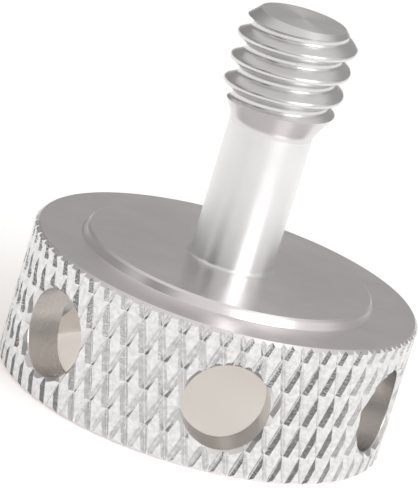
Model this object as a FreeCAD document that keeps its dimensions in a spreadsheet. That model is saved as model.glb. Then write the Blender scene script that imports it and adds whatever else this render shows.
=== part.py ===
import FreeCAD, Part

"""A turned thumb screw: a knurled cup knob with a raised seat, a plain captive neck and a short thread.

The screw stands on the open rim of its knob, with its axis along +Z and its origin at the middle of that rim.
Lengths are millimetres and angles are degrees. Six holes for a tommy bar go through the knob's wall in line, in
three pairs, and the first pair lies along Y. It is one piece, so it is one body.
"""

import math
import os

import Sketcher

SIZES = [
    ("knob_diameter", 20.6, "over the crowns of the knurl"),
    ("knob_chamfer", 0.3, "on the knob's upper and lower outer edges"),
    ("wall", 2.05, "thickness of the knob's rim round the hollow under it"),
    ("web", 1.3, "thickness of the knob's roof, from the hollow up to the flat ring"),
    ("cup_chamfer", 0.4, "on the hollow's lower edge"),
    ("cup_bevel", 0.3, "in the corner under the web"),
    ("bore_diameter", 4.5, "tommy bar holes"),
    ("bore_sill", 1.3, "metal between the holes and the edge that the knob stands on"),
    ("bore_lintel", 0.4, "metal between the holes and the web"),
    ("bore_pairs", 3, "holes that go through both sides"),
    ("bore_chamfer", 0.25, "at the holes' outer mouths"),
    ("ring_width", 2.45, "flat ring between the knob's edge and the foot of the raised seat"),
    ("seat_height", 0.5, "of the raised seat that bears on the plate, above the ring"),
    ("seat_slope", 0.2, "how far the seat's edge leans in"),
    ("seat_bevel", 0.12, "on the brow of the seat"),
    ("neck_diameter", 4.4, "plain shank that runs in a captive hole"),
    ("neck_length", 7.6, "from the seat to where the shank widens to the thread"),
    ("neck_bevel", 0.22, "where the neck meets the seat"),
    ("shoulder_length", 1.6, "over which the neck reaches the thread's diameter"),
    ("shoulder_fillet", 1.5, "blend of neck and shoulder"),
    ("thread_length", 5.8, "from the neck to the tip, with the shoulder"),
    ("thread_diameter", 6.2, "over the crests, within the limits of a quarter inch screw"),
    ("thread_depth", 0.64, "from the crests to the groove's floor"),
    ("thread_pitch", 1.27, "twenty threads to the inch"),
    ("thread_root_flat", 0.3, "width of the groove's floor"),
    ("thread_flank_angle", 60.0, "between the two flanks"),
    ("thread_run_in", 0.78, "how far below the shoulder the groove's sweep begins, along X"),
    ("tip_diameter", 4.54, "flat end inside its 45 degree chamfer"),
    ("knurl_count", 60, "grooves of each hand, and flats that the rim is dressed to before them"),
    ("knurl_depth", 0.21, "at mid height, where a straight groove is deepest"),
    ("knurl_angle", 17.45, "between a groove and the knob's axis"),
    ("knurl_vee", 90.0, "angle of the groove"),
    ("knurl_phase", 0.87, "turn of each set at mid height, so that crowns line up with the holes"),
]
KNOB_RADIUS = "(Sizes.knob_diameter / 2)"
CUP_RADIUS = f"({KNOB_RADIUS} - Sizes.wall)"
CUP_DEPTH = "(Sizes.bore_sill + Sizes.bore_diameter + Sizes.bore_lintel)"
KNOB_HEIGHT = f"({CUP_DEPTH} + Sizes.web)"
BORE_HEIGHT = "(Sizes.bore_sill + Sizes.bore_diameter / 2)"
SEAT_RADIUS = f"({KNOB_RADIUS} - Sizes.ring_width)"
SEAT_TOP = f"({KNOB_HEIGHT} + Sizes.seat_height)"
NECK_RADIUS = "(Sizes.neck_diameter / 2)"
SHOULDER_FOOT = f"({SEAT_TOP} + Sizes.neck_length)"
CREST_RADIUS = "(Sizes.thread_diameter / 2)"
TIP_RADIUS = "(Sizes.tip_diameter / 2)"
TIP_TOP = f"({SHOULDER_FOOT} + Sizes.thread_length)"
RIM_STOCK = 0.1  # how far the rim is turned oversize before its flats are dressed
CUTTER_MARGIN = 0.5  # how far a cutter's open side stands clear of the metal
TOUCH = 1e-3  # how near a point must lie to a surface to count as on it


def make_sheet(doc):
    """Put the driving sizes in a sheet, one row each: its name, its value and what it measures."""
    sheet = doc.addObject("Spreadsheet::Sheet", "Sizes")
    for row, (alias, value, meaning) in enumerate(SIZES, start=1):
        sheet.set(f"A{row}", alias)
        sheet.set(f"B{row}", str(value))
        sheet.set(f"C{row}", meaning)
        sheet.setAlias(f"B{row}", alias)
    doc.recompute()
    return sheet


def origin_feature(body, role):
    """Return the plane or axis of the body's own origin that has this role."""
    return next(feature for feature in body.Origin.OriginFeatures if feature.Role == role)


def new_sketch(body, name, role):
    """Add an empty sketch on one of the body's own origin planes."""
    sketch = body.newObject("Sketcher::SketchObject", name)
    sketch.AttachmentSupport = [(origin_feature(body, role), "")]
    sketch.MapMode = "FlatFace"
    return sketch


def draw_outline(sketch, corners):
    """Close a straight-sided outline whose corners stand where the given expressions put them."""
    places = [FreeCAD.Vector(*(float(sketch.evalExpression(part)) for part in corner)) for corner in corners]
    for here, there in zip(places, places[1:] + places[:1]):
        sketch.addGeometry(Part.LineSegment(here, there))
    for index, (corner, place) in enumerate(zip(corners, places)):
        sketch.addConstraint(Sketcher.Constraint("Coincident", index - 1 if index else len(corners) - 1, 2, index, 1))
        for kind, expression, value in zip(("DistanceX", "DistanceY"), corner, (place.x, place.y)):
            number = sketch.addConstraint(Sketcher.Constraint(kind, -1, 1, index, 1, value))
            sketch.setExpression(f"Constraints[{number}]", expression)


def cut_across(body, name, sketch):
    """Cut the sketch's outline right through the body, both ways from its plane."""
    pocket = body.newObject("PartDesign::Pocket", name)
    pocket.Profile = sketch
    pocket.Type = "ThroughAll"
    pocket.Midplane = True
    return pocket


def repeat_round(body, name, feature, count, step):
    """Repeat a cut round the screw's axis and make the pattern the body's last feature."""
    pattern = body.newObject("PartDesign::PolarPattern", name)
    pattern.Originals = [feature]
    pattern.Axis = (origin_feature(body, "Z_Axis"), [""])
    pattern.Mode = "Spacing"
    pattern.setExpression("Offset", step)
    pattern.setExpression("Occurrences", count)
    body.Tip = pattern
    body.Document.recompute()


def turn_blank(body):
    """Turn the whole section in one revolve: cup, rim, ring, seat, neck, shoulder and the thread's blank."""
    stock = f"({KNOB_RADIUS} + {RIM_STOCK})"
    sketch = new_sketch(body, "Section", "XZ_Plane")
    draw_outline(
        sketch,
        [
            ("0", CUP_DEPTH),
            (f"{CUP_RADIUS} - Sizes.cup_bevel", CUP_DEPTH),
            (CUP_RADIUS, f"{CUP_DEPTH} - Sizes.cup_bevel"),
            (CUP_RADIUS, "Sizes.cup_chamfer"),
            (f"{CUP_RADIUS} + Sizes.cup_chamfer", "0"),
            (stock, "0"),
            (stock, KNOB_HEIGHT),
            (SEAT_RADIUS, KNOB_HEIGHT),
            (f"{SEAT_RADIUS} - Sizes.seat_slope", f"{SEAT_TOP} - Sizes.seat_bevel"),
            (f"{SEAT_RADIUS} - Sizes.seat_slope - Sizes.seat_bevel", SEAT_TOP),
            (f"{NECK_RADIUS} + Sizes.neck_bevel", SEAT_TOP),
            (NECK_RADIUS, f"{SEAT_TOP} + Sizes.neck_bevel"),
            (NECK_RADIUS, SHOULDER_FOOT),
            (CREST_RADIUS, f"{SHOULDER_FOOT} + Sizes.shoulder_length"),
            (CREST_RADIUS, f"{TIP_TOP} - ({CREST_RADIUS} - {TIP_RADIUS})"),
            (TIP_RADIUS, TIP_TOP),
            ("0", TIP_TOP),
        ],
    )
    revolve = body.newObject("PartDesign::Revolution", "Blank")
    revolve.Profile = sketch
    revolve.ReferenceAxis = (sketch, ["V_Axis"])
    revolve.Angle = 360
    body.Document.recompute()


def blend_shoulder(body):
    """Blend the neck into the shoulder with the large radius that the turning tool leaves."""
    blank = body.Tip
    radius = blank.evalExpression(NECK_RADIUS)
    height = blank.evalExpression(SHOULDER_FOOT)
    edges = [
        f"Edge{number}"
        for number, edge in enumerate(blank.Shape.Edges, start=1)
        if isinstance(edge.Curve, Part.Circle)
        and abs(edge.Curve.Radius - radius) < TOUCH
        and abs(edge.Curve.Center.z - height) < TOUCH
    ]
    fillet = body.newObject("PartDesign::Fillet", "ShoulderBlend")
    fillet.Base = (blank, edges)
    fillet.setExpression("Radius", "Sizes.shoulder_fillet")
    body.Document.recompute()


def drill_bores(body):
    """Drill the tommy bar holes straight across the knob, then break their outer mouths."""
    sketch = new_sketch(body, "BoreCircle", "XZ_Plane")
    radius = sketch.evalExpression("Sizes.bore_diameter / 2")
    height = sketch.evalExpression(BORE_HEIGHT)
    up = FreeCAD.Vector(0, 0, 1)
    circle = sketch.addGeometry(Part.Circle(FreeCAD.Vector(0, height, 0), up, radius))
    sketch.addConstraint(Sketcher.Constraint("PointOnObject", circle, 3, -2))
    number = sketch.addConstraint(Sketcher.Constraint("DistanceY", -1, 1, circle, 3, height))
    sketch.setExpression(f"Constraints[{number}]", BORE_HEIGHT)
    number = sketch.addConstraint(Sketcher.Constraint("Radius", circle, radius))
    sketch.setExpression(f"Constraints[{number}]", "Sizes.bore_diameter / 2")
    bore = cut_across(body, "Bore", sketch)
    repeat_round(body, "Bores", bore, "Sizes.bore_pairs", "180 / Sizes.bore_pairs")
    bores = body.Tip
    chamfer = body.newObject("PartDesign::Chamfer", "BoreMouths")
    chamfer.Base = (bores, mouth_edges(bores))
    chamfer.setExpression("Size", f"Sizes.bore_chamfer + {RIM_STOCK}")
    body.Tip = chamfer
    body.Document.recompute()


def mouth_edges(bores):
    """Name the edges where the bores break out of the knob's outer wall."""
    rim = float(bores.evalExpression(KNOB_RADIUS)) + RIM_STOCK
    names = []
    for number, edge in enumerate(bores.Shape.Edges, start=1):
        points = edge.discretize(9)
        on_rim = all(abs(math.hypot(point.x, point.y) - rim) < TOUCH for point in points)
        rises = max(point.z for point in points) - min(point.z for point in points) > TOUCH
        turns = max(point.distanceToLine(points[0], FreeCAD.Vector(0, 0, 1)) for point in points) > TOUCH
        if on_rim and rises and turns:
            names.append(f"Edge{number}")
    return names


def dress_rim(body):
    """Dress the rim to one narrow flat for each groove, with both of its edges chamfered.

    What stays is what the knob shares with a prism that has these edges. A plug on the prism spares the shank.
    """
    form = body.Document.addObject("PartDesign::Body", "RimForm")
    prism = form.newObject("PartDesign::AdditivePrism", "RimPrism")
    prism.AttachmentSupport = [(origin_feature(form, "XY_Plane"), "")]
    prism.MapMode = "FlatFace"
    turn = "create(<<rotation>>; 180 / Sizes.knurl_count; 0; 0)"
    prism.setExpression("AttachmentOffset", f"create(<<placement>>; create(<<vector>>; 0; 0; 0); {turn})")
    prism.setExpression("Polygon", "Sizes.knurl_count")
    prism.setExpression("Circumradius", KNOB_RADIUS)
    prism.setExpression("Height", KNOB_HEIGHT)
    body.Document.recompute()
    ends = [
        f"Edge{number}"
        for number, edge in enumerate(prism.Shape.Edges, start=1)
        if abs(edge.Vertexes[0].Z - edge.Vertexes[1].Z) < TOUCH
    ]
    chamfer = form.newObject("PartDesign::Chamfer", "RimEdges")
    chamfer.Base = (prism, ends)
    chamfer.setExpression("Size", "Sizes.knob_chamfer")
    plug = form.newObject("PartDesign::AdditiveCylinder", "ShankPlug")
    plug.setExpression("Radius", f"{SEAT_RADIUS} + {CUTTER_MARGIN}")
    plug.setExpression("Height", f"{TIP_TOP} + {CUTTER_MARGIN}")
    form.Tip = plug
    body.Document.recompute()
    common = body.newObject("PartDesign::Boolean", "DressedRim")
    common.Type = "Common"
    common.addObject(form)
    body.Tip = common
    body.Document.recompute()


def knurl_rim(body):
    """Cut the diamond knurl: two sets of straight vee grooves that lean opposite ways across the rim."""
    floor = f"({KNOB_RADIUS} - Sizes.knurl_depth)"
    mouth = f"(Sizes.knurl_depth + {CUTTER_MARGIN}) * tan(Sizes.knurl_vee / 2)"
    open_side = f"-({KNOB_RADIUS} + {CUTTER_MARGIN})"
    for name, hand in (("Right", 1), ("Left", -1)):
        sketch = new_sketch(body, f"{name}Vee", "XY_Plane")
        place = f"create(<<vector>>; 0; 0; {KNOB_HEIGHT} / 2)"
        lean = f"create(<<rotation>>; {hand} * Sizes.knurl_phase; {hand} * Sizes.knurl_angle; 0)"
        sketch.setExpression("AttachmentOffset", f"create(<<placement>>; {place}; {lean})")
        draw_outline(sketch, [("0", f"-{floor}"), (mouth, open_side), (f"-({mouth})", open_side)])
        groove = cut_across(body, f"{name}Groove", sketch)
        repeat_round(body, f"{name}Grooves", groove, "Sizes.knurl_count", "360 / Sizes.knurl_count")


def cut_thread(body):
    """Cut the right-hand thread: one vee groove with a flat floor, swept up the blank from the shoulder."""
    root = f"({CREST_RADIUS} - Sizes.thread_depth)"
    outside = f"{CREST_RADIUS} + {CUTTER_MARGIN}"
    start = f"({SHOULDER_FOOT} - Sizes.thread_run_in)"
    half_floor = "Sizes.thread_root_flat / 2"
    half_mouth = f"({half_floor} + ({outside} - {root}) * tan(Sizes.thread_flank_angle / 2))"
    sketch = new_sketch(body, "ThreadVee", "XZ_Plane")
    draw_outline(
        sketch,
        [
            (root, f"{start} - {half_floor}"),
            (outside, f"{start} - {half_mouth}"),
            (outside, f"{start} + {half_mouth}"),
            (root, f"{start} + {half_floor}"),
        ],
    )
    helix = body.newObject("PartDesign::SubtractiveHelix", "Thread")
    helix.Profile = sketch
    helix.ReferenceAxis = (sketch, ["V_Axis"])
    helix.Mode = "pitch-height-angle"
    helix.setExpression("Pitch", "Sizes.thread_pitch")
    helix.setExpression("Height", f"{TIP_TOP} - {start} + Sizes.thread_pitch")
    helix.LeftHanded = False
    body.Tip = helix
    body.Document.recompute()


def check_and_write(doc, bodies):
    """Stop if any object failed or any sub-part has no sound shape; otherwise write one file for each."""
    failed = [item.Name for item in doc.Objects if {"Invalid", "Error"} & set(item.State)]
    if failed:
        raise RuntimeError(f"failed objects: {failed}")
    os.makedirs("parts", exist_ok=True)
    for body in bodies:
        if body.Shape.isNull() or not body.Shape.isValid():
            raise RuntimeError(f"{body.Label} has no sound shape")
        body.Shape.exportStep(f"parts/{body.Label}.step")
        print(body.Label, len(body.Shape.Solids), round(body.Shape.Volume, 3), body.Shape.BoundBox)


def main():
    doc = FreeCAD.newDocument("ThumbScrew")
    make_sheet(doc)
    screw = doc.addObject("PartDesign::Body", "ThumbScrew")
    screw.Label = "thumb_screw"
    turn_blank(screw)
    blend_shoulder(screw)
    drill_bores(screw)
    dress_rim(screw)
    knurl_rim(screw)
    cut_thread(screw)
    check_and_write(doc, [screw])


main()
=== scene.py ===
"""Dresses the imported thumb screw: turned, drilled, knurled and threaded bright aluminium on a pale floor.

The metal is modelled in millimetres, as it would be machined, and set to metres once it is whole:
the turned knob is met by a knurled drum, drilled right across three times, and joined to the threaded
shank. Sizes are in millimetres and angles in degrees; the studio's distances are in metres.
"""

import logging
import math
from dataclasses import dataclass, field
from enum import Enum
from typing import Any, Callable, Sequence

import bpy
import numpy as np
from mathutils import Matrix, Vector

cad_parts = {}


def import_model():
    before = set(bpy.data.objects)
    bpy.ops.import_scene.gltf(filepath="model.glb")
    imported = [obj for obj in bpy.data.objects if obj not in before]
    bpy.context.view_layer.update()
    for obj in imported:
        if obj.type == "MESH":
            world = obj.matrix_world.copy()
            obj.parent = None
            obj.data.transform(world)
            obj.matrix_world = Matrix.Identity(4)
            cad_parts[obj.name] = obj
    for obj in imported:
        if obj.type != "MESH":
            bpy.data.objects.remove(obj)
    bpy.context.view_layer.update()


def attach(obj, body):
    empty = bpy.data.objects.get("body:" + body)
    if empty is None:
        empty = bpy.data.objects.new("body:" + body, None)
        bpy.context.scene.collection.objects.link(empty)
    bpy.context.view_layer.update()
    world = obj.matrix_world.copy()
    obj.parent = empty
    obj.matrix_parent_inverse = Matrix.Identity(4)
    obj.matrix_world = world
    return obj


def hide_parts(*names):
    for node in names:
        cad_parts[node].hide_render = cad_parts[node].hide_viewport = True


LOG = logging.getLogger("thumb_screw")
MM = 0.001  # metres in a millimetre
NODE = "thumb_screw"
BODY = "root"
KNOB_RADIUS = 10.3  # over the crowns of the knurl
HOLE_AZIMUTH = -90.0  # where the first bar hole is, round the screw from +X
CORNER_STEPS = 5  # straight runs in a rounded corner
MERGE_GAP = 1e-5  # doubled vertices lie nearer than this
SEAM_GAP = 1e-4  # and those of a swept surface nearer than this
PATTERN_MEAN = 0.5  # of a noise pattern

Outline = list[tuple[float, float]]
Colour = tuple[float, float, float]


class Cut(Enum):
    """How one solid meets another."""

    KEEP_SHARED = "INTERSECT"
    TAKE_AWAY = "DIFFERENCE"
    JOIN = "UNION"


class Zone(Enum):
    """The parts of the metal that are finished in their own way, in the order of their material slots."""

    TURNED = 0
    KNURLED = 1
    HOLLOW = 2
    NECK = 3
    THREAD = 4
    DRILLED = 5


def deselect_all() -> None:
    """Deselect every object."""
    bpy.ops.object.select_all(action="DESELECT")


def activate(piece: bpy.types.Object) -> None:
    """Make the piece the only selected object, and the active one.

    Args:
        piece: The object to work on.
    """
    deselect_all()
    piece.select_set(True)
    bpy.context.view_layer.objects.active = piece


def select_open_edges() -> None:
    """Select the edges that have only one face."""
    bpy.ops.mesh.select_mode(type="EDGE")
    bpy.ops.mesh.select_all(action="DESELECT")
    bpy.ops.mesh.select_non_manifold(
        extend=False,
        use_wire=False,
        use_boundary=True,
        use_multi_face=False,
        use_non_contiguous=False,
        use_verts=False,
    )


def edit(piece: bpy.types.Object, *steps: Callable[[], Any]) -> None:
    """Run edit-mode steps on a piece, with all of it selected at the start.

    Args:
        piece: The object to edit.
        steps: The operators to run, in order.
    """
    activate(piece)
    bpy.ops.object.mode_set(mode="EDIT")
    bpy.ops.mesh.select_mode(type="VERT")
    bpy.ops.mesh.select_all(action="SELECT")
    for step in steps:
        step()
    bpy.ops.object.mode_set(mode="OBJECT")


def rounded(corners: Sequence[tuple[float, float, float]], steps: int = CORNER_STEPS) -> Outline:
    """Round the corners of an open outline.

    Args:
        corners: Radius from the axis, height, and corner radius of each corner.
        steps: How many straight runs stand for each rounded corner.

    Returns:
        The outline's points.
    """
    points: Outline = []
    for index, (x, z, radius) in enumerate(corners):
        here = Vector((x, z))
        if radius == 0 or index in (0, len(corners) - 1):
            points.append((x, z))
            continue
        before = (Vector(corners[index - 1][:2]) - here).normalized()
        after = (Vector(corners[index + 1][:2]) - here).normalized()
        half = before.angle(after) / 2
        centre = here + (before + after).normalized() * (radius / math.sin(half))
        first = here + before * (radius / math.tan(half)) - centre
        last = here + after * (radius / math.tan(half)) - centre
        sweep = first.angle_signed(last)
        for step in range(steps + 1):
            arm = first.copy()
            arm.rotate(Matrix.Rotation(-sweep * step / steps, 2))
            points.append(tuple(centre + arm))
    return points


def draw(name: str, outline: Outline) -> bpy.types.Object:
    """Draw an open outline in the XZ plane, one extruded vertex after another.

    Args:
        name: The object's name.
        outline: Radius and height of each point.

    Returns:
        The object, which has edges and no faces.
    """
    deselect_all()
    bpy.ops.mesh.primitive_plane_add(size=1)
    piece = bpy.context.object
    piece.name = name
    start = Vector((outline[0][0], 0, outline[0][1]))
    edit(
        piece,
        lambda: bpy.ops.mesh.merge(type="CENTER"),
        lambda: bpy.ops.transform.translate(value=start),
        *(
            lambda move=(there[0] - here[0], 0, there[1] - here[1]): bpy.ops.mesh.extrude_vertices_move(
                TRANSFORM_OT_translate={"value": move}
            )
            for here, there in zip(outline, outline[1:])
        ),
    )
    return piece


def seal(piece: bpy.types.Object, gap: float = MERGE_GAP) -> None:
    """Merge a piece's doubled vertices and turn its faces outwards.

    Args:
        piece: The object.
        gap: How far apart doubles may be, in the piece's own units.
    """
    edit(
        piece,
        lambda: bpy.ops.mesh.remove_doubles(threshold=gap),
        lambda: bpy.ops.mesh.select_all(action="SELECT"),
        lambda: bpy.ops.mesh.normals_make_consistent(inside=False),
    )


def turn(name: str, outline: Outline, steps: int) -> bpy.types.Object:
    """Turn an outline whose ends lie on the axis into a closed solid.

    Args:
        name: The object's name.
        outline: Radius and height of each point.
        steps: Facets round the axis.

    Returns:
        The solid.
    """
    piece = draw(name, outline)
    edit(piece, lambda: bpy.ops.mesh.spin(steps=steps, angle=math.tau, center=(0, 0, 0), axis=(0, 0, 1)))
    seal(piece)
    return piece


def apply_modifier(piece: bpy.types.Object, kind: str, **settings: Any) -> None:
    """Add a modifier, set it and apply it.

    Args:
        piece: The object.
        kind: The modifier's type.
        settings: Its settings by name.
    """
    activate(piece)
    modifier = piece.modifiers.new(kind.title(), kind)
    for name, value in settings.items():
        setattr(modifier, name, value)
    bpy.ops.object.modifier_apply(modifier=modifier.name)


def meet(piece: bpy.types.Object, tool: bpy.types.Object, cut: Cut) -> None:
    """Cut, trim or join a solid with another one, which is used up.

    Args:
        piece: The solid that stays.
        tool: The other solid.
        cut: What is kept.
    """
    apply_modifier(piece, "BOOLEAN", operation=cut.value, solver="MANIFOLD", object=tool)
    mesh = tool.data
    bpy.data.objects.remove(tool)
    bpy.data.meshes.remove(mesh)


@dataclass
class KnurledDrum:
    """A closed drum whose wall carries the diamond knurl, longer than the rim at both ends.

    Each diamond stands between two grooves of either hand. It is modelled flat, as a rhombus that is
    inset once for each step from groove floor to crown, then set out in rows and wrapped on the drum.
    The grooves run straight, so they are deepest at the rim's middle, and the diamonds' flanks follow.
    """

    radius: float = KNOB_RADIUS
    count: int = 60  # diamonds in a row
    angle: float = 17.45  # between a groove and the drum's axis
    depth: float = 0.22  # of the grooves at the rim's middle
    middle: float = 3.75  # height of the rim's middle
    least: float = 0.3  # share of the depth that is left far from the middle
    floor_width: float = 0.015  # half the width of a groove's floor
    brow: float = 0.05  # width of a crown's eased edge
    brow_steps: tuple[tuple[float, float], ...] = ((0.5, 0.35), (0.6, 0.15))  # its steps' widths and rises
    crown_row: float = 1.53  # height of a row that has a diamond in line with the first bar hole
    rows_below: int = 2  # rows under that one
    rows: int = 7
    half_length: float = 10.3  # from the rows' middle to each closed end
    merge_gap: float = 1e-3  # corners of neighbouring diamonds lie nearer than this

    @property
    def width(self) -> float:
        """Give a diamond's width round the drum."""
        return math.tau * self.radius / self.count

    @property
    def height(self) -> float:
        """Give a diamond's height."""
        return self.width / math.tan(math.radians(self.angle))

    def tile(self) -> bpy.types.Object:
        """Model one diamond flat, with its crown at height 0.

        Returns:
            The tile, in the XY plane with Y along the drum's axis.
        """
        deselect_all()
        bpy.ops.mesh.primitive_circle_add(vertices=4, radius=1, fill_type="NGON")
        tile = bpy.context.object
        tile.name = "diamond"
        slope = self.depth - self.brow * sum(rise for _, rise in self.brow_steps)
        insets = [(self.floor_width, 0), (slope, slope)]
        insets += [(self.brow * across, self.brow * rise) for across, rise in self.brow_steps]
        edit(
            tile,
            lambda: bpy.ops.transform.resize(value=(self.width / 2, self.height / 2, 1)),
            lambda: bpy.ops.transform.translate(value=(0, 0, -self.depth)),
            *(
                lambda across=across, rise=rise: bpy.ops.mesh.inset(thickness=across, depth=rise)
                for across, rise in insets
            ),
            lambda: bpy.ops.mesh.subdivide(number_cuts=1),
        )
        return tile

    def build(self) -> bpy.types.Object:
        """Set the diamonds out in rows, wrap them round and close the drum's ends.

        Returns:
            The closed drum.
        """
        drum = self.tile()
        drum.name = "drum"
        corners_each = len(drum.data.vertices)
        next_row, next_column = (self.width / 2, self.height / 2, 0), (self.width, 0, 0)
        for count, move in ((self.rows, next_row), (self.count, next_column)):
            apply_modifier(
                drum,
                "ARRAY",
                count=count,
                use_relative_offset=False,
                use_constant_offset=True,
                constant_offset_displace=move,
            )
        base = self.crown_row - self.rows_below * self.height / 2
        self.wrap(drum.data, corners_each, base)
        seal(drum, self.merge_gap)
        for side in (-1, 1):
            self.close_end(drum, base + (self.rows - 1) * self.height / 4, side)
        seal(drum)
        return drum

    def wrap(self, mesh: bpy.types.Mesh, corners_each: int, base: float) -> None:
        """Bend the flat rows round the drum's axis.

        Args:
            mesh: The rows, one diamond's vertices after another's.
            corners_each: How many vertices each diamond has.
            base: The lowest row's height on the drum.
        """
        flat = np.empty(len(mesh.vertices) * 3, np.float32)
        mesh.vertices.foreach_get("co", flat)
        along, up, out = flat.reshape(-1, 3).astype(float).T
        copy = np.arange(len(along)) // corners_each
        row, column = copy % self.rows, copy // self.rows
        centre = (row * self.width / 2 + column * self.width, row * self.height / 2)
        along, up, out = self.slide_flanks(along, up, out, centre, base)
        start = math.radians(HOLE_AZIMUTH) - self.rows_below * math.tau / self.count / 2
        angle = along / self.radius + start
        reach = self.radius + out
        wrapped = np.stack([reach * np.cos(angle), reach * np.sin(angle), base + up], 1)
        mesh.vertices.foreach_set("co", wrapped.astype(np.float32).ravel())
        mesh.update()

    def slide_flanks(
        self,
        along: np.ndarray,
        up: np.ndarray,
        out: np.ndarray,
        centre: tuple[np.ndarray, np.ndarray],
        base: float,
    ) -> tuple[np.ndarray, np.ndarray, np.ndarray]:
        """Make the grooves as deep as a straight cut leaves them at each height, with the same flank angle.

        Args:
            along: Each point's place round the drum.
            up: Its height above the lowest row's middle.
            out: Its height over the crowns, which is negative in a groove.
            centre: The place and height of its own diamond's middle.
            base: The lowest row's height on the drum.

        Returns:
            The points' new places.
        """
        least_way, middle_way = 1e-6, 1e-5  # shares of the way out from a diamond's middle to its edge
        inradius = self.width * self.height / 2 / math.hypot(self.width, self.height)
        fall = math.tan(math.radians(self.angle)) ** 2 / (2 * self.radius)
        share = np.maximum(1 - (base + up - self.middle) ** 2 * fall / self.depth, self.least)
        across, rise = along - centre[0], up - centre[1]
        to_edge = np.abs(across) / (self.width / 2) + np.abs(rise) / (self.height / 2)
        to_edge = np.clip(to_edge, least_way, 1)
        inset = (1 - to_edge) * inradius
        foot = self.floor_width + self.depth + self.brow
        past = np.maximum(inset - foot, 0)
        slid = np.minimum(inset, foot) * share + past * (inradius - foot * share) / (inradius - foot)
        stretch = np.where(to_edge > middle_way, (1 - slid / inradius) / to_edge, 1)
        return centre[0] + across * stretch, centre[1] + rise * stretch, out * share

    @staticmethod
    def select_end(drum: bpy.types.Object, middle: float, side: int) -> None:
        """Select the open edges at one end of the drum.

        Args:
            drum: The drum, in edit mode.
            middle: The height of its middle.
            side: 1 for the upper end and -1 for the lower one.
        """
        select_open_edges()
        bpy.ops.object.mode_set(mode="OBJECT")
        mesh = drum.data
        for edge in mesh.edges:
            if edge.select and (mesh.vertices[edge.vertices[0]].co.z - middle) * side < 0:
                edge.select = False
        for vertex in mesh.vertices:
            if vertex.select and (vertex.co.z - middle) * side < 0:
                vertex.select = False
        bpy.ops.object.mode_set(mode="EDIT")

    def close_end(self, drum: bpy.types.Object, middle: float, side: int) -> None:
        """Draw one open end of the drum out to a flat face.

        Args:
            drum: The drum.
            middle: The height of its middle.
            side: 1 for the upper end and -1 for the lower one.
        """
        level = middle + side * self.half_length
        edit(
            drum,
            lambda: self.select_end(drum, middle, side),
            lambda: bpy.ops.mesh.extrude_edges_move(),
            lambda: bpy.ops.transform.resize(value=(1, 1, 0), center_override=(0, 0, level)),
            lambda: bpy.ops.mesh.edge_face_add(),
        )


@dataclass
class BarHole:
    """The cutter of one tommy bar hole: right across the knob, with an even chamfer at both mouths."""

    radius: float = 2.25
    height: float = 3.55  # of its axis over the open rim
    wall: float = KNOB_RADIUS  # radius of the wall that it opens in
    chamfer: float = 0.22
    flare: float = 0.6  # how far the cutter goes on opening outside the wall
    corner_start: float = 0.92  # share of the chamfer's depth where its rounded inner corner starts
    corner_end: float = 1.12  # and where that corner meets the bore
    mouth_depth: float = 1.2  # from the wall to the last ring of the mouth
    bent_depth: float = 1.0  # rings nearer to the wall than this follow its curve
    facets: int = 96

    def build(self) -> bpy.types.Object:
        """Extrude the cutter ring by ring along Y, then let its mouths follow the round wall.

        Returns:
            The cutter.
        """
        mouth = self.radius + self.chamfer
        stations = [
            (self.wall + self.flare, mouth + self.flare),
            (self.wall, mouth),
            (self.wall - self.chamfer * self.corner_start, mouth - self.chamfer * self.corner_start),
            (self.wall - self.chamfer * self.corner_end, self.radius),
            (self.wall - self.mouth_depth, self.radius),
        ]
        rings = [(-y, r) for y, r in stations] + stations[::-1]
        deselect_all()
        bpy.ops.mesh.primitive_circle_add(vertices=self.facets, radius=rings[0][1], fill_type="NGON")
        cutter = bpy.context.object
        cutter.name = "bar_hole_cutter"
        cutter.data.transform(Matrix.Translation((0, rings[0][0], 0)) @ Matrix.Rotation(math.pi / 2, 4, "X"))
        steps = []
        for (here, old), (there, new) in zip(rings, rings[1:]):
            steps.append(
                lambda move=there - here: bpy.ops.mesh.extrude_region_move(
                    TRANSFORM_OT_translate={"value": (0, move, 0)}
                )
            )
            steps.append(
                lambda share=new / old, at=there: bpy.ops.transform.resize(
                    value=(share, 1, share), center_override=(0, at, 0)
                )
            )
        edit(cutter, *steps)
        seal(cutter)
        for vertex in cutter.data.vertices:
            x, y, z = vertex.co
            if abs(y) > self.wall - self.bent_depth:
                vertex.co.y = math.copysign(abs(y) - self.wall + math.sqrt(self.wall**2 - x * x), y)
            vertex.co.z = z + self.height
        return cutter


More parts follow.
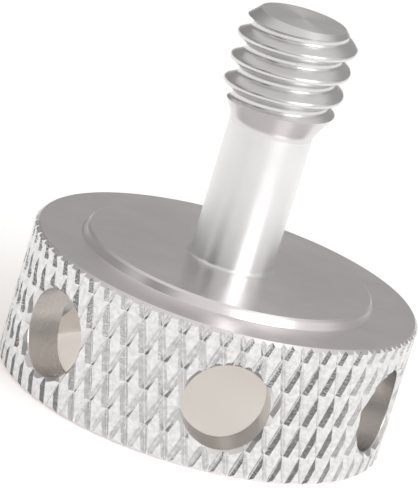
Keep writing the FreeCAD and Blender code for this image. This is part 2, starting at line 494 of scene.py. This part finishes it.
@dataclass
class Knob:
    """The knurled cup knob with the raised seat on its roof."""

    radius: float = KNOB_RADIUS
    height: float = 7.5
    chamfer: float = 0.2  # of the rim's outer edges
    edge_round: float = 0.05  # radius of the turned edges
    cup_radius: float = 8.25
    cup_depth: float = 6.2
    cup_corner: float = 0.3  # radius between the hollow's wall and roof
    cup_chamfer: float = 0.4
    seat_radius: float = 7.85  # of the seat's foot
    seat_height: float = 0.5
    seat_slope: float = 0.2  # how far the seat's edge leans in
    seat_bevel: float = 0.12
    seat_round: float = 0.06  # radius of the seat's edges
    stock: float = 0.2  # metal outside the rim, which the knurled drum takes away
    facets: int = 360
    drum: KnurledDrum = field(default_factory=KnurledDrum)
    hole: BarHole = field(default_factory=BarHole)
    hole_pairs: int = 3

    def section(self) -> Outline:
        """Give the turned section.

        Returns:
            The outline from the middle of the hollow's roof round to the middle of the seat.
        """
        top = self.height + self.seat_height
        brow = self.seat_radius - self.seat_slope
        outside = self.radius + self.stock
        return rounded(
            [
                (0, self.cup_depth, 0),
                (self.cup_radius, self.cup_depth, self.cup_corner),
                (self.cup_radius, self.cup_chamfer, self.edge_round),
                (self.cup_radius + self.cup_chamfer, 0, self.edge_round),
                (self.radius - self.chamfer, 0, self.edge_round),
                (outside, self.chamfer + self.stock, 0),
                (outside, self.height - self.chamfer - self.stock, 0),
                (self.radius - self.chamfer, self.height, self.edge_round),
                (self.seat_radius, self.height, self.seat_round),
                (brow, top - self.seat_bevel, self.seat_round),
                (brow - self.seat_bevel, top, self.seat_round),
                (0, top, 0),
            ]
        )

    def build(self) -> bpy.types.Object:
        """Turn the knob, give it its knurl and drill its holes.

        Returns:
            The knob as one closed solid.
        """
        knob = turn("knob", self.section(), self.facets)
        meet(knob, self.drum.build(), Cut.KEEP_SHARED)
        for number in range(self.hole_pairs):
            cutter = self.hole.build()
            cutter.data.transform(Matrix.Rotation(math.pi * number / self.hole_pairs, 4, "Z"))
            meet(knob, cutter, Cut.TAKE_AWAY)
        return knob


@dataclass
class Shank:
    """The plain captive neck, its flared shoulder and the short right-hand thread."""

    seat_top: float = 8.0
    root_depth: float = 0.7  # of the shank's root inside the knob
    root_margin: float = 0.02  # by which the root is wider than the neck's fillet
    root_sink: float = 0.01  # how far under the seat's face the root ends
    neck_sink: float = 0.005  # and the neck's fillet begins
    neck_radius: float = 2.2
    neck_fillet: float = 0.25
    shoulder_foot: float = 15.6
    shoulder_top: float = 17.2
    shoulder_fillet: float = 0.8
    crest_radius: float = 3.1
    root_radius: float = 2.46
    pitch: float = 1.27
    crest_height: float = 19.266  # of one crest, where it passes +X
    turns_below: int = 11  # turns of the threaded rod under that crest
    turns: int = 14  # turns of the whole rod
    root_flat: float = 0.3  # width of a groove's floor before its corners are rounded
    rounding: float = 0.19  # radius of the thread's crests and roots
    flank: float = 30.0
    stock: float = 0.3  # metal outside the crests, which the threaded rod takes away
    tip_height: float = 21.4
    tip_radius: float = 2.27
    tip_round: float = 0.06
    corner_steps: int = 8  # straight runs in each of the shank's fillets
    facets: int = 160

    def envelope(self) -> Outline:
        """Give the outline of the shank before the thread is cut.

        Returns:
            The outline from the root inside the knob to the middle of the tip.
        """
        root = self.neck_radius + self.neck_fillet + self.root_margin
        outside = self.crest_radius + self.stock
        return rounded(
            [
                (0, self.seat_top - self.root_depth, 0),
                (root, self.seat_top - self.root_depth, 0),
                (root, self.seat_top - self.root_sink, 0),
                (self.neck_radius, self.seat_top - self.neck_sink, self.neck_fillet),
                (self.neck_radius, self.shoulder_foot, self.shoulder_fillet),
                (self.crest_radius, self.shoulder_top, 0),
                (outside, self.shoulder_top + self.stock, 0),
                (outside, self.tip_height - (outside - self.tip_radius), 0),
                (self.tip_radius, self.tip_height, self.tip_round),
                (0, self.tip_height, 0),
            ],
            self.corner_steps,
        )

    def thread_profile(self) -> Outline:
        """Give one pitch of the thread.

        Returns:
            The outline from the middle of the rod's lowest groove to the middle of the next.
        """
        rise = (self.crest_radius - self.root_radius) * math.tan(math.radians(self.flank))
        middle = self.crest_height - self.turns_below * self.pitch
        crest = self.pitch / 2 - self.root_flat / 2 - rise
        low = middle - self.pitch / 2
        return rounded(
            [
                (self.root_radius, low, 0),
                (self.root_radius, middle - crest - rise, self.rounding),
                (self.crest_radius, middle - crest, self.rounding),
                (self.crest_radius, middle + crest, self.rounding),
                (self.root_radius, middle + crest + rise, self.rounding),
                (self.root_radius, low + self.pitch, 0),
            ]
        )

    def threaded_rod(self) -> bpy.types.Object:
        """Screw the thread's profile into a closed rod, longer than the shank at both ends.

        Returns:
            The rod.
        """
        rod = draw("threaded_rod", self.thread_profile())
        apply_modifier(
            rod,
            "SCREW",
            axis="Z",
            angle=math.tau,
            screw_offset=self.pitch,
            iterations=self.turns,
            steps=self.facets,
            render_steps=self.facets,
            use_merge_vertices=False,
        )
        seal(rod, SEAM_GAP)
        edit(rod, select_open_edges, lambda: bpy.ops.mesh.fill(use_beauty=False))
        seal(rod)
        return rod

    def build(self) -> bpy.types.Object:
        """Turn the shank and cut its thread.

        Returns:
            The shank as one closed solid, with its root inside the seat.
        """
        shank = turn("shank", self.envelope(), self.facets)
        meet(shank, self.threaded_rod(), Cut.KEEP_SHARED)
        return shank


class Value:
    """A shader socket that can be used in arithmetic."""

    def __init__(self, tree: "Tree", socket: Any) -> None:
        """Keep the socket and the tree that it is in."""
        self.tree = tree
        self.socket = socket

    def _math(self, operation: str, *others: Any) -> "Value":
        """Add a Math node to the tree.

        Args:
            operation: The node's operation.
            others: The values after this one.

        Returns:
            The node's result.
        """
        return self.tree.node("ShaderNodeMath", {"operation": operation}, self, *others)["Value"]

    def __add__(self, other: Any) -> "Value":
        """Add."""
        return self._math("ADD", other)

    def __radd__(self, other: Any) -> "Value":
        """Add, with the number first."""
        return self._math("ADD", other)

    def __sub__(self, other: Any) -> "Value":
        """Subtract."""
        return self._math("SUBTRACT", other)

    def __rsub__(self, other: Any) -> "Value":
        """Subtract from a number."""
        return self.tree.node("ShaderNodeMath", {"operation": "SUBTRACT"}, other, self)["Value"]

    def __mul__(self, other: Any) -> "Value":
        """Multiply."""
        return self._math("MULTIPLY", other)

    def __rmul__(self, other: Any) -> "Value":
        """Multiply, with the number first."""
        return self._math("MULTIPLY", other)

    def __pow__(self, other: Any) -> "Value":
        """Raise to a power."""
        return self._math("POWER", other)

    def root(self) -> "Value":
        """Take the square root."""
        return self._math("SQRT")

    def turn(self, ahead: "Value") -> "Value":
        """Take the angle of this length from the one ahead."""
        return self._math("ARCTAN2", ahead)

    def lift(self) -> "Value":
        """Take the angle whose sine this is."""
        return self._math("ARCSINE")

    def larger(self, other: "Value") -> "Value":
        """Take the larger of the two."""
        return self._math("MAXIMUM", other)

    def smooth(self, low: float, high: float) -> "Value":
        """Rise smoothly from 0 to 1.

        Args:
            low: The value up to which it stays 0.
            high: The value from which it is 1.

        Returns:
            The smooth step.
        """
        settings = {"interpolation_type": "SMOOTHSTEP", "clamp": True}
        return self.tree.node("ShaderNodeMapRange", settings, self, low, high, 0.0, 1.0)["Result"]


class Tree:
    """A node tree that grows by one method."""

    def __init__(self, tree: bpy.types.NodeTree) -> None:
        """Empty the tree."""
        self.tree = tree
        tree.nodes.clear()

    def node(
        self, kind: str, settings: dict[str, Any] | None = None, *places: Any, **named: Any
    ) -> "Outputs":
        """Add a node, set it and fill its sockets.

        Args:
            kind: The node's type.
            settings: Its settings, such as an operation, which are set first.
            places: Values or links of its inputs in their order.
            named: Values or links of its inputs by name, with _ for a space.

        Returns:
            The node's outputs.
        """
        node = self.tree.nodes.new(kind)
        for name, value in (settings or {}).items():
            setattr(node, name, value)
        filled = list(zip((socket for socket in node.inputs if socket.enabled), places))
        filled += [(self.named(node, name.replace("_", " ")), value) for name, value in named.items()]
        for socket, value in filled:
            if isinstance(value, Value):
                self.tree.links.new(value.socket, socket)
            else:
                socket.default_value = value
        return Outputs(self, node)

    def noise(self, scale: float, detail: float, roughness: float, **where: Value) -> Value:
        """Add a noise pattern.

        Args:
            scale: How many features it has along one unit of its place.
            detail: How many finer layers it has.
            roughness: How strong each finer layer is.
            where: Its place, as Vector in space or as W along a line.

        Returns:
            The pattern, from 0 to 1 with most of it near 0.5.
        """
        settings = {"noise_dimensions": "1D" if "W" in where else "3D"}
        found = self.node(
            "ShaderNodeTexNoise", settings, Scale=scale, Detail=detail, Roughness=roughness, **where
        )
        return found["Fac"]

    @staticmethod
    def named(node: bpy.types.Node, name: str) -> bpy.types.NodeSocket:
        """Find a node's enabled input by its name."""
        return next(socket for socket in node.inputs if socket.enabled and socket.name == name)


class Outputs:
    """A node's outputs by name."""

    def __init__(self, tree: Tree, node: bpy.types.Node) -> None:
        """Keep the node and its tree."""
        self.tree = tree
        self.node = node

    def __getitem__(self, name: str) -> Value:
        """Find an enabled output by its name."""
        found = next(socket for socket in self.node.outputs if socket.enabled and socket.name == name)
        return Value(self.tree, found)


@dataclass(frozen=True)
class MetalFinish:
    """Bright aluminium as a tool leaves it: fine lines round the axis, a little haze, and small marks."""

    name: str
    colour: Colour
    roughness: float
    anisotropy: float
    lines_per_mm: float = 0.0
    line_depth: float = 0.0
    haze: float = 0.04  # how far the roughness goes up and down
    tint: float = 0.03  # how far the colour goes up and down
    patch_mm: float = 2.4  # size of the patches of haze and tint
    patch_edges: tuple[float, float] = (0.3, 0.7)  # the pattern where a patch is darkest and lightest
    grain_per_mm: float = 0.0
    grain_depth: float = 0.0
    round_axis: float = 0.25  # turn that lays the anisotropy's lines round the axis

    def material(self) -> bpy.types.Material:
        """Build the finish.

        Returns:
            The material.
        """
        material = bpy.data.materials.new(self.name)
        material.use_nodes = True
        tree = Tree(material.node_tree)
        place = tree.node("ShaderNodeTexCoord")["Object"]
        split = tree.node("ShaderNodeSeparateXYZ", None, place)
        radius = (split["X"] ** 2 + split["Y"] ** 2).root()
        travel = (radius + split["Z"]) * (self.lines_per_mm / MM)
        fine = tree.noise(1.0, detail=3.0, roughness=0.6, W=travel)
        cloud = tree.noise(1 / (self.patch_mm * MM), detail=4.0, roughness=0.55, Vector=place)
        shares = (1 - self.tint, 1 + self.tint)
        dark, light = ([channel * share for channel in self.colour] for share in shares)
        colour = tree.node(
            "ShaderNodeMix",
            {"data_type": "RGBA", "clamp_factor": True},
            Factor=cloud.smooth(*self.patch_edges),
            A=(*dark, 1),
            B=(*light, 1),
        )["Result"]
        roughness = self.roughness + (cloud - PATTERN_MEAN) * self.haze + (fine - PATTERN_MEAN) * self.haze
        height = fine * self.line_depth
        if self.grain_depth:
            grain = tree.noise(self.grain_per_mm / MM, detail=2.0, roughness=0.5, Vector=place)
            height = height + grain * self.grain_depth
        bump = tree.node("ShaderNodeBump", None, Strength=1.0, Distance=MM, Height=height)["Normal"]
        shader = tree.node(
            "ShaderNodeBsdfPrincipled",
            None,
            Base_Color=colour,
            Metallic=1.0,
            Roughness=roughness,
            Anisotropic=self.anisotropy,
            Anisotropic_Rotation=self.round_axis,
            Normal=bump,
        )["BSDF"]
        tree.node("ShaderNodeOutputMaterial", None, Surface=shader)
        return material


FINISHES = {
    Zone.TURNED: MetalFinish(
        "turned_aluminium",
        (0.83, 0.79, 0.805),
        roughness=0.32,
        anisotropy=0.55,
        lines_per_mm=9.0,
        line_depth=0.0003,
    ),
    Zone.KNURLED: MetalFinish(
        "knurled_aluminium",
        (0.75, 0.75, 0.75),
        roughness=0.2,
        anisotropy=0.0,
        tint=0.11,
        patch_mm=0.25,
        grain_per_mm=9.0,
        grain_depth=0.01,
    ),
    Zone.HOLLOW: MetalFinish(
        "bored_aluminium",
        (0.86, 0.84, 0.82),
        roughness=0.42,
        anisotropy=0.3,
        lines_per_mm=6.0,
        line_depth=0.002,
    ),
    Zone.NECK: MetalFinish(
        "burnished_aluminium",
        (0.85, 0.85, 0.85),
        roughness=0.32,
        anisotropy=0.75,
        lines_per_mm=9.0,
        line_depth=0.0005,
    ),
    Zone.THREAD: MetalFinish(
        "threaded_aluminium",
        (0.745, 0.735, 0.735),
        roughness=0.3,
        anisotropy=0.5,
        lines_per_mm=6.0,
        line_depth=0.0004,
    ),
    Zone.DRILLED: MetalFinish(
        "drilled_aluminium",
        (0.74, 0.73, 0.725),
        roughness=0.28,
        anisotropy=0.0,
        lines_per_mm=5.0,
        line_depth=0.001,
    ),
}


@dataclass
class ThumbScrew:
    """The whole screw: knob and shank joined into one piece of metal."""

    knob: Knob = field(default_factory=Knob)
    shank: Shank = field(default_factory=Shank)
    finishes: dict[Zone, MetalFinish] = field(default_factory=lambda: dict(FINISHES))
    tip_skin: float = 0.01  # a face within this of the tip's plane is the flat tip
    thread_lead: float = 0.2  # the thread's finish starts this far under the shoulder
    seat_skin: float = 0.001  # a face more than this over the seat is the neck's
    wall_skin: float = 0.02  # a hole's face lies more than this into the knob's wall
    roof_skin: float = 0.01  # the hollow's faces reach at most this far over its roof
    knurl_reach: float = 0.2  # the knurl's faces go in this far past the chamfer
    knurl_margin: float = 0.9  # and start at this share of its height
    smooth_below: float = 15.0  # faces that meet at less than this are shaded as one
    normal_weight: int = 90  # by which large faces lead the shading

    def zone(self, place: Vector) -> Zone:
        """Say which finish a face gets.

        Args:
            place: The face's middle, in millimetres.

        Returns:
            Its zone.
        """
        knob, shank = self.knob, self.shank
        reach = math.hypot(place.x, place.y)
        if place.z > shank.tip_height - self.tip_skin:
            return Zone.NECK
        if place.z > shank.shoulder_foot - self.thread_lead:
            return Zone.THREAD
        if place.z > knob.height + knob.seat_height + self.seat_skin and reach < knob.seat_radius / 2:
            return Zone.NECK
        if reach > knob.cup_radius + self.wall_skin and self.in_bar_hole(place):
            return Zone.DRILLED
        if reach < knob.cup_radius + knob.cup_chamfer and place.z < knob.cup_depth + self.roof_skin:
            return Zone.HOLLOW
        edge = knob.chamfer * self.knurl_margin
        if reach > knob.radius - knob.chamfer - self.knurl_reach and edge < place.z < knob.height - edge:
            return Zone.KNURLED
        return Zone.TURNED

    def in_bar_hole(self, place: Vector) -> bool:
        """Say whether a place lies in a bar hole or its mouth.

        Args:
            place: The place, in millimetres.

        Returns:
            Whether one of the holes holds it.
        """
        hole = self.knob.hole
        for number in range(self.knob.hole_pairs):
            turned = Matrix.Rotation(-math.pi * number / self.knob.hole_pairs, 3, "Z") @ place
            if math.hypot(turned.x, turned.z - hole.height) < hole.radius + hole.chamfer:
                return True
        return False

    def build(self) -> bpy.types.Object:
        """Machine the screw and dress it.

        Returns:
            The finished piece, in metres.
        """
        screw = self.knob.build()
        LOG.info("knob: %d faces", len(screw.data.polygons))
        shank = self.shank.build()
        LOG.info("shank: %d faces", len(shank.data.polygons))
        meet(screw, shank, Cut.JOIN)
        screw.name = "thumb_screw_metal"
        screw.data.materials.clear()
        for zone in Zone:
            screw.data.materials.append(self.finishes[zone].material())
        for face in screw.data.polygons:
            face.material_index = self.zone(face.center).value
        activate(screw)
        bpy.ops.object.shade_smooth_by_angle(angle=math.radians(self.smooth_below))
        apply_modifier(screw, "WEIGHTED_NORMAL", keep_sharp=True, weight=self.normal_weight)
        screw.data.transform(Matrix.Scale(MM, 4))
        return screw


@dataclass(frozen=True)
class Panel:
    """A stretch of the room round the screw, as it shows in the metal.

    Its sides are angles from the camera's own direction, growing to the right, and its edges are heights
    over the horizon, all in degrees. What comes later in the list hangs in front.
    """

    left: float
    right: float
    bottom: float
    top: float
    soft: float
    level: float

    def mask(self, turn: Value, height: Value) -> Value:
        """Say how far a direction lies on the panel.

        Args:
            turn: The direction's angle from the camera's, in radians.
            height: Its angle over the horizon, in radians.

        Returns:
            1 on the panel and 0 beside it.
        """
        after_left, before_right = (self.step(turn, edge) for edge in (self.left, self.right))
        over_bottom, over_top = (self.step(height, edge) for edge in (self.bottom, self.top))
        return after_left * (1 - before_right) * over_bottom * (1 - over_top)

    def step(self, value: Value, edge: float) -> Value:
        """Rise from 0 to 1 across one of the panel's soft edges."""
        return value.smooth(math.radians(edge - self.soft), math.radians(edge + self.soft))


@dataclass
class Studio:
    """The pale floor, the soft surroundings, the lamp and the camera, in metres."""

    eye: tuple[float, float, float] = (-0.04183015, -0.21526913, 0.07462519)
    right: tuple[float, float, float] = (0.95609913, -0.09468892, 0.27732375)
    up: tuple[float, float, float] = (-0.23358759, 0.32518728, 0.91634604)
    back: tuple[float, float, float] = (-0.17694997, -0.94089704, 0.28879312)
    lens: float = 326.87
    film: float = 36.0
    nearest: float = 0.01
    farthest: float = 10.0
    floor_radius: float = 2.0
    floor_edges: int = 64
    floor_paint: Colour = (0.84, 0.88, 0.93)
    floor_glow: Colour = (1, 0.89, 0.78)
    floor_glow_level: float = 0.375
    air: Colour = (1, 0.985, 0.97)
    behind: float = 0.4  # level of the room where no panel hangs
    panels: tuple[Panel, ...] = (
        # left, right, bottom, top, soft, level
        Panel(-400, 400, 46, 200, 14, 0.8),
        Panel(-80, 105, 8, 46, 12, 0.85),
        Panel(-170, -80, -20, 26, 12, 0.3),
        Panel(-64, -36, -20, 38, 5, 0.08),
        Panel(-95, 14, -20, 16, 4, 0.12),
    )
    lamp_distance: float = 0.6

    def camera(self) -> None:
        """Set the camera where the photograph was taken from."""
        data = bpy.data.cameras.new("camera")
        data.sensor_width = self.film
        data.sensor_fit = "AUTO"
        data.lens = self.lens
        data.clip_start = self.nearest
        data.clip_end = self.farthest
        camera = bpy.data.objects.new("camera", data)
        bpy.context.scene.collection.objects.link(camera)
        turned = Matrix((self.right, self.up, self.back)).transposed().to_4x4()
        camera.matrix_world = Matrix.Translation(self.eye) @ turned
        bpy.context.scene.camera = camera

    def floor(self) -> None:
        """Lay the pale floor, which keeps the shadow and glows for the camera and in the metal."""
        deselect_all()
        bpy.ops.mesh.primitive_circle_add(
            vertices=self.floor_edges, radius=self.floor_radius, fill_type="NGON"
        )
        floor = bpy.context.object
        floor.name = "floor"
        material = bpy.data.materials.new("pale_floor")
        material.use_nodes = True
        tree = Tree(material.node_tree)
        path = tree.node("ShaderNodeLightPath")
        seen = path["Is Camera Ray"].larger(path["Is Glossy Ray"])
        paint = tree.node("ShaderNodeBsdfDiffuse", None, Color=(*self.floor_paint, 1))["BSDF"]
        glow = tree.node(
            "ShaderNodeEmission", None, Color=(*self.floor_glow, 1), Strength=seen * self.floor_glow_level
        )["Emission"]
        both = tree.node("ShaderNodeAddShader", None, paint, glow)["Shader"]
        tree.node("ShaderNodeOutputMaterial", None, Surface=both)
        floor.data.materials.append(material)

    def surroundings(self) -> None:
        """Give the room: pale overhead, lighter before the screw than behind, and dark in places low down."""
        world = bpy.data.worlds.new("studio")
        bpy.context.scene.world = world
        world.use_nodes = True
        tree = Tree(world.node_tree)
        way = tree.node("ShaderNodeTexCoord")["Generated"]
        split = tree.node("ShaderNodeSeparateXYZ", None, way)
        facing = math.atan2(self.eye[1], self.eye[0])
        ahead = split["X"] * math.cos(facing) + split["Y"] * math.sin(facing)
        aside = split["Y"] * math.cos(facing) - split["X"] * math.sin(facing)
        turn = aside.turn(ahead)
        height = split["Z"].lift()
        light: float | Value = self.behind
        for panel in self.panels:
            light = light + (panel.level - light) * panel.mask(turn, height)
        path = tree.node("ShaderNodeLightPath")
        room = tree.node("ShaderNodeBackground", None, Color=(*self.air, 1), Strength=light)["Background"]
        white = tree.node("ShaderNodeBackground", None, Color=(1, 1, 1, 1), Strength=1.0)["Background"]
        shown = tree.node("ShaderNodeMixShader", None, path["Is Camera Ray"], room, white)["Shader"]
        tree.node("ShaderNodeOutputWorld", None, Surface=shown)

    def lamp(self, name: str, azimuth: float, elevation: float, size: float, power: float) -> None:
        """Hang one soft square lamp that looks at the screw.

        Args:
            name: The lamp's name.
            azimuth: Its direction round the screw, in degrees.
            elevation: Its height above the floor, in degrees.
            size: Its side, in metres.
            power: Its power, in watts.
        """
        data = bpy.data.lights.new(name, "AREA")
        data.shape = "SQUARE"
        data.size = size
        data.energy = power
        lamp = bpy.data.objects.new(name, data)
        bpy.context.scene.collection.objects.link(lamp)
        round_by, rise = math.radians(azimuth), math.radians(elevation)
        way = Vector(
            (math.cos(round_by) * math.cos(rise), math.sin(round_by) * math.cos(rise), math.sin(rise))
        )
        turned = way.to_track_quat("Z", "Y").to_matrix().to_4x4()
        lamp.matrix_world = Matrix.Translation(way * self.lamp_distance) @ turned

    def build(self) -> None:
        """Set up the whole studio."""
        self.camera()
        self.floor()
        self.surroundings()
        self.lamp("key", azimuth=-60, elevation=37, size=0.34, power=1.3)
        bpy.context.scene.view_settings.view_transform = "Standard"


def main() -> None:
    """Build the studio and the screw, hang the screw on its body and hide the imported part."""
    logging.basicConfig(level=logging.INFO, format="%(name)s: %(message)s")
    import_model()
    Studio().build()
    screw = ThumbScrew().build()
    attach(screw, BODY)
    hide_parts(NODE)
    LOG.info("%s: %d vertices, %d faces", screw.name, len(screw.data.vertices), len(screw.data.polygons))


if __name__ == "__main__":
    main()
